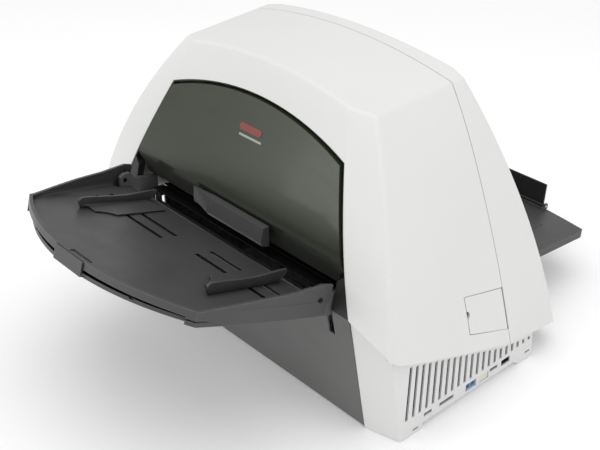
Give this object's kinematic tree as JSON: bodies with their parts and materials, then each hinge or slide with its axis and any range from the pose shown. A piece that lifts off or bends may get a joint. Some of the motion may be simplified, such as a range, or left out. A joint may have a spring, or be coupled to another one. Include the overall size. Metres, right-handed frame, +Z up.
{
  "type": "document scanner",
  "caption": "Desktop document scanner for large sheets, with a hinged input tray and coupled side guides, a tilting front fascia and a folding output tray.",
  "frame": {"origin": "on the floor, under the middle of the whole machine with its trays out", "axes": "+Z up, -Y towards the front where sheets go in, +Y towards the output tray, +X to the right seen from the front"},
  "size_m": [0.5828, 0.7662, 0.4146],
  "materials": {
    "housing_white": "fine-textured moulded plastic",
    "base_white": "fine-textured moulded plastic",
    "fascia_dark": "glossy dark grey plastic",
    "bezel_dark": "satin near-black plastic",
    "panel_dark": "fine-textured dark grey plastic",
    "tray_dark": "fine-textured dark grey plastic",
    "grip_grey": "satin grey plastic",
    "stop_black": "satin black plastic",
    "badge_light": "plain red plate",
    "connector_blue": "blue plastic",
    "cover_beige": "beige plastic",
    "inlet_black": "black plastic",
    "feet_rubber": "matt rubber",
    "roller_rubber": "ground rubber",
    "belt_rubber": "toothed belt rubber",
    "idler_plastic": "natural moulded plastic",
    "pin_steel": "ground steel",
    "frame_steel": "zinc-plated sheet steel",
    "motor_black": "black painted metal",
    "scan_glass": "polished glass",
    "board_green": "solder mask",
    "fan_black": "moulded black plastic"
  },
  "bodies": {
    "root": {"main_housing": "housing_white", "rear_housing": "housing_white", "cover_bezel": "bezel_dark", "cover_pivot_pins": "pin_steel", "rubber_feet": "feet_rubber", "base_chassis": "base_white", "lower_front_panel": "panel_dark", "data_connector": "connector_blue", "port_cover": "cover_beige", "power_inlet": "inlet_black", "switch_pin": "pin_steel", "side_frame_left": "frame_steel", "side_frame_right": "frame_steel", "lift_rods": "pin_steel", "cross_tie_bars": "pin_steel", "lower_guide_plate": "motor_black", "upper_guide_plate": "motor_black", "lower_scan_glass": "scan_glass", "upper_scan_glass": "scan_glass", "lower_camera": "motor_black", "upper_camera": "motor_black", "drive_motor": "motor_black", "drive_belt": "belt_rubber", "main_board": "board_green", "power_supply": "frame_steel", "fan_housing": "fan_black", "output_hinge_pins": "pin_steel"},
    "side_door": {"side_door": "housing_white"},
    "cover": {"front_cover": "fascia_dark", "grip_pin": "pin_steel", "badge_plate": "badge_light"},
    "grip": {"cover_grip": "grip_grey"},
    "switch": {"power_switch": "inlet_black"},
    "lift": {"lift_carriage": "panel_dark", "tray_hinge_pins": "pin_steel"},
    "tray": {"input_tray": "tray_dark"},
    "extension": {"tray_extension": "tray_dark"},
    "guide_left": {"side_guide_left": "tray_dark", "guide_rack_left": "idler_plastic"},
    "guide_right": {"side_guide_right": "tray_dark", "guide_rack_right": "idler_plastic"},
    "pinion": {"guide_pinion": "idler_plastic"},
    "feed_roller": {"feed_roller_shaft": "pin_steel", "feed_roller_tyres": "roller_rubber"},
    "separation_roller": {"separation_roller": "idler_plastic"},
    "infeed_roller": {"infeed_roller_shaft": "pin_steel", "infeed_roller_tyres": "roller_rubber"},
    "infeed_idler": {"infeed_idler": "idler_plastic"},
    "outfeed_roller": {"outfeed_roller_shaft": "pin_steel", "outfeed_roller_tyres": "roller_rubber"},
    "outfeed_idler": {"outfeed_idler": "idler_plastic"},
    "exit_roller": {"exit_roller_shaft": "pin_steel", "exit_roller_tyres": "roller_rubber"},
    "exit_idler": {"exit_idler": "idler_plastic"},
    "motor_pulley": {"motor_pulley": "pin_steel"},
    "fan": {"fan_rotor": "fan_black"},
    "output_tray": {"output_tray": "tray_dark", "end_stop_pin": "pin_steel", "stop_screws": "pin_steel"},
    "end_stop": {"end_stop": "stop_black"}
  },
  "joints": [
    {"name": "lift_slide", "type": "slide", "parent": "root", "child": "lift", "axis": [0, 0, 1], "range_m": [-0.028, 0]},
    {"name": "tray_fold", "type": "hinge", "parent": "lift", "child": "tray", "pos_m": [0, -0.1771, 0.1986], "axis": [-1, 0, 0], "range_deg": [0, 70]},
    {"name": "extension_slide", "type": "slide", "parent": "tray", "child": "extension", "axis": [0, -0.9622, 0.2723], "range_m": [0, 0.12]},
    {"name": "guide_right_slide", "type": "slide", "parent": "tray", "child": "guide_right", "axis": [1, 0, 0], "range_m": [-0.078, 0.024]},
    {"name": "guide_left_slide", "type": "slide", "parent": "tray", "child": "guide_left", "axis": [1, 0, 0], "range_m": [-0.024, 0.078]},
    {"name": "guide_pinion_spin", "type": "hinge", "parent": "tray", "child": "pinion", "pos_m": [0, -0.21848, 0.21031], "axis": [0, 0.2723, 0.9622], "range_deg": [-175, 562]},
    {"name": "cover_tilt", "type": "hinge", "parent": "root", "child": "cover", "pos_m": [0, -0.10619, 0.325], "axis": [1, 0, 0], "range_deg": [-45, 0]},
    {"name": "grip_pull", "type": "hinge", "parent": "cover", "child": "grip", "pos_m": [0, -0.15, 0.221], "axis": [-1, 0, 0], "range_deg": [0, 12], "stiffness_Nm_per_rad": 1.5, "springref_deg": -17.19},
    {"name": "door_swing", "type": "hinge", "parent": "root", "child": "side_door", "pos_m": [0.27632, 0.06947, 0.11275], "axis": [-0.1353, -0.1739, 0.9754], "range_deg": [0, 70]},
    {"name": "switch_rock", "type": "hinge", "parent": "root", "child": "switch", "pos_m": [-0.138, 0.1425, 0.034], "axis": [1, 0, 0], "range_deg": [0, 14]},
    {"name": "output_fold", "type": "hinge", "parent": "root", "child": "output_tray", "pos_m": [0, 0.1785, 0.0866], "axis": [1, 0, 0], "range_deg": [0, 90]},
    {"name": "stop_fold", "type": "hinge", "parent": "output_tray", "child": "end_stop", "pos_m": [0, 0.3755, 0.07896], "axis": [1, 0, 0], "range_deg": [0, 88]},
    {"name": "feed_roller_spin", "type": "hinge", "parent": "root", "child": "feed_roller", "pos_m": [0, -0.09695, 0.159], "axis": [1, 0, 0], "continuous": true},
    {"name": "separation_roller_spin", "type": "hinge", "parent": "root", "child": "separation_roller", "pos_m": [0, -0.09061, 0.18048], "axis": [1, 0, 0], "continuous": true},
    {"name": "infeed_roller_spin", "type": "hinge", "parent": "root", "child": "infeed_roller", "pos_m": [0, -0.01447, 0.13466], "axis": [1, 0, 0], "continuous": true},
    {"name": "infeed_idler_spin", "type": "hinge", "parent": "root", "child": "infeed_idler", "pos_m": [0, -0.00813, 0.15614], "axis": [1, 0, 0], "continuous": true},
    {"name": "outfeed_roller_spin", "type": "hinge", "parent": "root", "child": "outfeed_roller", "pos_m": [0, 0.06802, 0.11032], "axis": [1, 0, 0], "continuous": true},
    {"name": "outfeed_idler_spin", "type": "hinge", "parent": "root", "child": "outfeed_idler", "pos_m": [0, 0.07436, 0.13181], "axis": [1, 0, 0], "continuous": true},
    {"name": "exit_roller_spin", "type": "hinge", "parent": "root", "child": "exit_roller", "pos_m": [0, 0.1505, 0.08598], "axis": [1, 0, 0], "continuous": true},
    {"name": "exit_idler_spin", "type": "hinge", "parent": "root", "child": "exit_idler", "pos_m": [0, 0.15684, 0.10747], "axis": [1, 0, 0], "continuous": true},
    {"name": "motor_spin", "type": "hinge", "parent": "root", "child": "motor_pulley", "pos_m": [-0.19, 0.10926, 0.09815], "axis": [1, 0, 0], "continuous": true},
    {"name": "fan_spin", "type": "hinge", "parent": "root", "child": "fan", "pos_m": [0.2505, -0.0355, 0.064], "axis": [1, 0, 0], "continuous": true}
  ],
  "couplings": [
    {"joint": "guide_left_slide", "follows": "guide_right_slide", "ratio": -1},
    {"joint": "guide_pinion_spin", "follows": "guide_right_slide", "rad_per_m": -125},
    {"joint": "separation_roller_spin", "follows": "feed_roller_spin", "ratio": -1.2},
    {"joint": "infeed_roller_spin", "follows": "feed_roller_spin", "ratio": 1},
    {"joint": "infeed_idler_spin", "follows": "feed_roller_spin", "ratio": -1.2},
    {"joint": "outfeed_roller_spin", "follows": "feed_roller_spin", "ratio": 1},
    {"joint": "outfeed_idler_spin", "follows": "feed_roller_spin", "ratio": -1.2},
    {"joint": "exit_roller_spin", "follows": "feed_roller_spin", "ratio": 1},
    {"joint": "exit_idler_spin", "follows": "feed_roller_spin", "ratio": -1.2},
    {"joint": "motor_spin", "follows": "feed_roller_spin", "ratio": 1}
  ]
}
